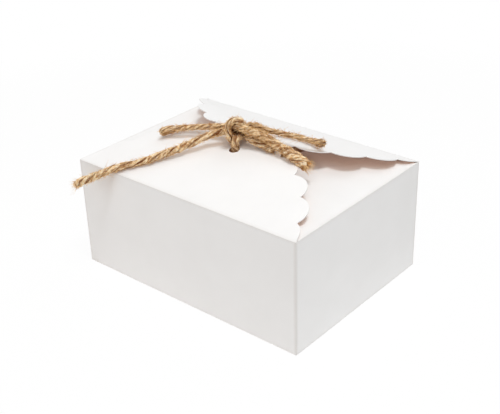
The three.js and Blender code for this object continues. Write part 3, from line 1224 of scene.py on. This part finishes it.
THROUGH_FLAPS: Route = (
    (2.8, -8, 21.8), (2.8, -13, 20.8), (2.2, -13.6, 18), (1.7, -12.8, 15.4), (1.6, -12.4, 12.6),
    (1.6, -11.2, 9.2), (1.6, -6, 8), (1.6, 4, 8.2), (1.6, 11.8, 9.4), (1.6, 14, 12.8),
    (1.5, 13.8, 16.6), (-0.2, 10.2, 20.6), (-2.4, 4, 21.8), (-3.2, -2.2, 22), (-2.6, -8, 23.5),
)
KNOT_WRAP: Route = (
    (3.9, -6.5, 26.8), (5.1, -9.6, 30.8), (5.1, -12.4, 33.5), (2.1, -13.6, 33.4),
    (-0.6, -14.6, 31.5), (-1.9, -15.6, 28.5), (-1.4, -16, 25.2), (-1, -15, 21.7), (-1.7, -12, 18.3),
    (-1.4, -8, 18), (-1.4, -4.5, 19.9),
)


class TwineBow:
    """The twine tied in a bow: two loops, two tails, a short end and the knot."""

    def runs(self) -> Iterable[TwineRun]:
        """Gives the bow's runs, the cut ends first."""
        yield TwineRun(
            "left_tail", LEFT_TAIL, "twine_left_tail", FarEnd.CUT, radius=2.4 * MM,
            lay_length=30 * MM, brush=130, loosening=0.2, seed=3,
        )
        yield TwineRun(
            "right_tail", RIGHT_TAIL, "twine_right_tail", FarEnd.CUT, radius=2.6 * MM,
            hairs_per_mm=34, brush=320, loosening=0.5, seed=5,
        )
        yield TwineRun("short_end", SHORT_END, "twine_short_end", FarEnd.CUT, brush=50, seed=8)
        for name, route, node, seed, radius in (
            ("left_loop", LEFT_LOOP, "twine_left_loop", 11, 1.7 * MM),
            ("right_loop", RIGHT_LOOP, "twine_right_loop", 14, 1.5 * MM),
            ("through_flaps", THROUGH_FLAPS, "twine_through_flaps", 17, 2.4 * MM),
            ("knot_wrap", KNOT_WRAP, "twine_knot", 20, 2.1 * MM),
        ):
            yield TwineRun(name, route, node, FarEnd.KNOT, radius=radius, seed=seed)

    def build(self, jute: Material, fuzz: Material) -> None:
        """Makes every run of the twine."""
        for run in self.runs():
            run.build(jute, fuzz)


# Studio


@dataclass(frozen=True)
class SoftLamp:
    """A square soft lamp that points at the box."""

    name: str
    place: Point
    size: float
    power: float
    tint: Point
    aim: Point = (0, 0, 0.05)

    def hang(self) -> None:
        """Hangs the lamp in its place."""
        data = bpy.data.lights.new(self.name, "AREA")
        data.shape, data.size, data.energy, data.color = "SQUARE", self.size, self.power, self.tint
        turned = (Vector(self.aim) - Vector(self.place)).to_track_quat("-Z", "Y").to_matrix()
        lamp = new_object(self.name, data)
        lamp.matrix_world = Matrix.Translation(self.place) @ turned.to_4x4()


@dataclass(frozen=True)
class Studio:
    """The camera, a pale floor and soft light from above."""

    azimuth: float = 40.92
    elevation: float = 28.15
    roll: float = -1.8
    place: Point = (0.3698, -0.4252, 0.3440)
    lens: float = 68.88
    sensor: float = 36.0
    clip: Span = (0.01, 20)
    sky: float = 0.3
    sky_tint: Colour = (1, 0.965, 0.93, 1)
    floor_reach: float = 12
    floor_drop: float = 0.2 * MM
    floor_near: Colour = (0.92, 0.92, 0.92, 1)
    floor_far: Colour = (0.5, 0.5, 0.5, 1)
    floor_fades: Span = (0.25, 0.5)
    floor_white: float = 0.95
    lamps: Sequence[SoftLamp] = (
        SoftLamp("overhead", (0.6, -0.2, 2.0), 0.4, 20, (0.97, 0.99, 1)),
        SoftLamp("front_box", (0.9, -0.9, 2.0), 1.5, 11.5, (0.97, 0.985, 1)),
        SoftLamp("back_box", (0.2, 1.3, 1.9), 1.2, 8, (0.97, 0.985, 1)),
        SoftLamp("front_fill", (-0.8, -0.9, 0.35), 0.8, 2.9, (1, 0.92, 0.86)),
    )

    def camera(self) -> None:
        """Stands the camera where the photograph was taken."""
        a, e, roll = (math.radians(x) for x in (self.azimuth, self.elevation, self.roll))
        back = Vector((math.sin(a) * math.cos(e), -math.cos(a) * math.cos(e), math.sin(e)))
        right = Vector((math.cos(a), math.sin(a), 0))
        up = back.cross(right)
        across = around(right, up, roll)
        above = up * math.cos(roll) - right * math.sin(roll)
        data = bpy.data.cameras.new("camera")
        data.sensor_width, data.lens = self.sensor, self.lens
        data.clip_start, data.clip_end = self.clip
        camera = new_object("camera", data)
        turned = Matrix((across, above, back)).transposed().to_4x4()
        camera.matrix_world = Matrix.Translation(self.place) @ turned
        bpy.context.scene.camera = camera

    def seen(self, graph: Graph) -> Socket:
        """Gives 1 for the camera's rays and for what gloss and glass show, and 0 for the rest."""
        path = graph.add("LightPath").outputs
        glossy = graph.math("MAXIMUM", path["Is Camera Ray"], path["Is Glossy Ray"])
        return graph.math("MAXIMUM", glossy, path["Is Transmission Ray"])

    def surroundings(self) -> None:
        """Sets the sky light and the white backdrop."""
        world = bpy.data.worlds.new("studio")
        bpy.context.scene.world = world
        world.use_nodes = True
        graph = Graph(world.node_tree)
        light = world.node_tree.nodes["Background"]
        graph.put(light, Color=self.sky_tint, Strength=self.sky)
        white = graph.put(graph.add("Background"), Color=WHITE, Strength=1.0)
        graph.blend(self.seen(graph), light, white, "World Output")

    def floor_finish(self) -> Material:
        """Makes the floor's material, which keeps a faint shadow and is all white far away.

        Returns:
            The material.
        """
        made, graph, shader = new_material("floor")
        made.node_tree.nodes.remove(shader)
        where = graph.add("TexCoord").outputs["Object"]
        reach = graph.add("VectorMath", operation="LENGTH")
        graph.feed(reach.inputs[0], where)
        away = graph.spread(reach.outputs["Value"], *self.floor_fades)
        grey = graph.mix(away, self.floor_near, self.floor_far)
        plain = graph.put(graph.add("BsdfDiffuse"), Color=grey)
        white = graph.put(graph.add("Emission"), Color=WHITE, Strength=1.0)
        blank = graph.math("MULTIPLY_ADD", away, 1 - self.floor_white, self.floor_white)
        share = graph.math("MULTIPLY", self.seen(graph), blank)
        graph.blend(share, plain, white, "Material Output")
        return made

    def floor(self) -> None:
        """Lays the pale floor."""
        bm = bmesh.new()
        bmesh.ops.create_grid(bm, x_segments=1, y_segments=1, size=self.floor_reach)
        bmesh.ops.translate(bm, verts=bm.verts[:], vec=(0, 0, -self.floor_drop))
        floor = new_mesh(bm, "floor", self.floor_finish())
        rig.stage(floor)

    def build(self) -> None:
        """Sets up the light and the floor."""
        bpy.context.scene.view_settings.view_transform = "Standard"
        self.surroundings()
        self.floor()
        for lamp in self.lamps:
            lamp.hang()


def dress_packed_board(material: Material) -> None:
    """Gives the seam and the base panels, which stay as packed, the board's material."""
    panels = ("base_main_panel", "base_lock_panel", "base_left_panel", "base_right_panel")
    for name in ("glue_seam", *panels):
        for held in frame["nodes"][name].material_slots:
            held.material = material
        log.info("%s: dressed as board", name)


def main() -> None:
    """Builds the whole scene in order."""
    logging.basicConfig(level=logging.INFO, format="%(name)s: %(message)s")
    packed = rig.bounds()
    studio = Studio()
    studio.camera()
    fibres = fibre_group()
    TwineBow().build(JuteFinish().material(fibres), FuzzFinish().material())
    board = BoardFinish().material(fibres)
    CartonWalls().build(board)
    ScallopedFlap(
        "front_flap", Body.FRONT_LID, slope=18.8, flattening=10.27, corner_lift=-8
    ).build(board)
    ScallopedFlap(
        "back_flap", Body.BACK_LID, slope=19, flattening=6.5, corner_lift=12.5,
        corner_draw=6.5 * MM, turned=True,
    ).build(board)
    EndFlap("right_end_flap", Body.RIGHT_TAB).build(board)
    EndFlap("left_end_flap", Body.LEFT_TAB, turned=True).build(board)
    dress_packed_board(BoardFinish().material(fibres, packed=True))
    studio.build()
    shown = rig.bounds()
    with open(SIZE_FILE, "w", encoding="utf-8") as out:
        json.dump([[list(map(float, corner)) for corner in box] for box in (packed, shown)], out)


if __name__ == "__main__":
    main()
